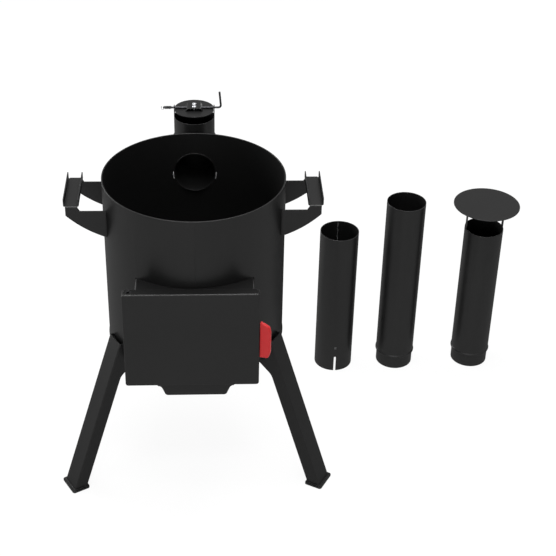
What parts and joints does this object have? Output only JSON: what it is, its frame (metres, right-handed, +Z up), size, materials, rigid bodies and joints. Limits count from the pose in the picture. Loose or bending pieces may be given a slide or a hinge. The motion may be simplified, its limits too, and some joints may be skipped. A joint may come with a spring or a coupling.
{
  "type": "cauldron stove",
  "caption": "Steel stove for a cauldron on three folded legs, with a side-hinged fire door, carrying handles, a flue damper and loose chimney sections with a rain cap.",
  "frame": {"origin": "centre of the drum's rim, in the plane of the rim", "axes": "+Z up along the drum's axis; -Y toward the fire door; +X to the right as one faces the door, where the loose chimney sections stand"},
  "size_m": [1.1891, 0.6687, 0.8527],
  "materials": {
    "black_coat": "satin black powder coat",
    "grate_iron": "raw cast iron",
    "red_sleeve": "soft-touch red sleeve",
    "bare_steel": "bare steel",
    "zinc": "bright zinc plate"
  },
  "bodies": {
    "stove": {"shell": "black_coat", "floor_plate": "black_coat", "duct": "black_coat", "hinge_lugs": "black_coat", "hinge_pins": "black_coat", "rail_left": "black_coat", "rail_right": "black_coat", "handle_left": "black_coat", "handle_right": "black_coat", "flue_elbow": "black_coat", "flue_collar": "black_coat", "leg_left": "black_coat", "leg_right": "black_coat", "leg_rear": "black_coat", "foot_left": "black_coat", "foot_right": "black_coat", "foot_rear": "black_coat"},
    "door": {"door_panel": "black_coat", "door_tab": "black_coat", "door_grip": "red_sleeve"},
    "ash_drawer": {"ash_front": "black_coat", "ash_pan": "black_coat"},
    "grate": {"grate": "grate_iron"},
    "damper": {"damper_disc": "black_coat", "damper_bridge": "black_coat", "damper_screw_front": "zinc", "damper_screw_rear": "zinc", "damper_nut_front": "zinc", "damper_nut_rear": "zinc", "damper_rod": "bare_steel", "damper_pin": "zinc", "damper_spring": "bare_steel"},
    "lower_section": {"pipe_lower": "black_coat"},
    "middle_section": {"pipe_middle": "black_coat"},
    "upper_section": {"pipe_upper": "black_coat", "rain_cap": "black_coat", "cap_strap_left": "black_coat", "cap_strap_right": "black_coat"}
  },
  "joints": [
    {"name": "door_swing", "type": "hinge", "parent": "stove", "child": "door", "pos_m": [-0.147, -0.228, -0.29265], "axis": [0, 0, -1], "range_deg": [0, 105]},
    {"name": "ash_slide", "type": "slide", "parent": "stove", "child": "ash_drawer", "axis": [0, -1, 0], "range_m": [0, 0.22]},
    {"name": "grate_lift", "type": "slide", "parent": "stove", "child": "grate", "axis": [0, 0, 1], "range_m": [0, 0.43]},
    {"name": "damper_turn", "type": "hinge", "parent": "stove", "child": "damper", "pos_m": [0, 0.2743, 0.0373], "axis": [1, 0, 0], "range_deg": [-90, 90]},
    {"name": "lower_section_lift", "type": "slide", "parent": "stove", "child": "lower_section", "axis": [0, 0, 1], "range_m": [0, 0.15]},
    {"name": "middle_section_lift", "type": "slide", "parent": "stove", "child": "middle_section", "axis": [0, 0, 1], "range_m": [0, 0.15]},
    {"name": "upper_section_lift", "type": "slide", "parent": "stove", "child": "upper_section", "axis": [0, 0, 1], "range_m": [0, 0.15]}
  ]
}
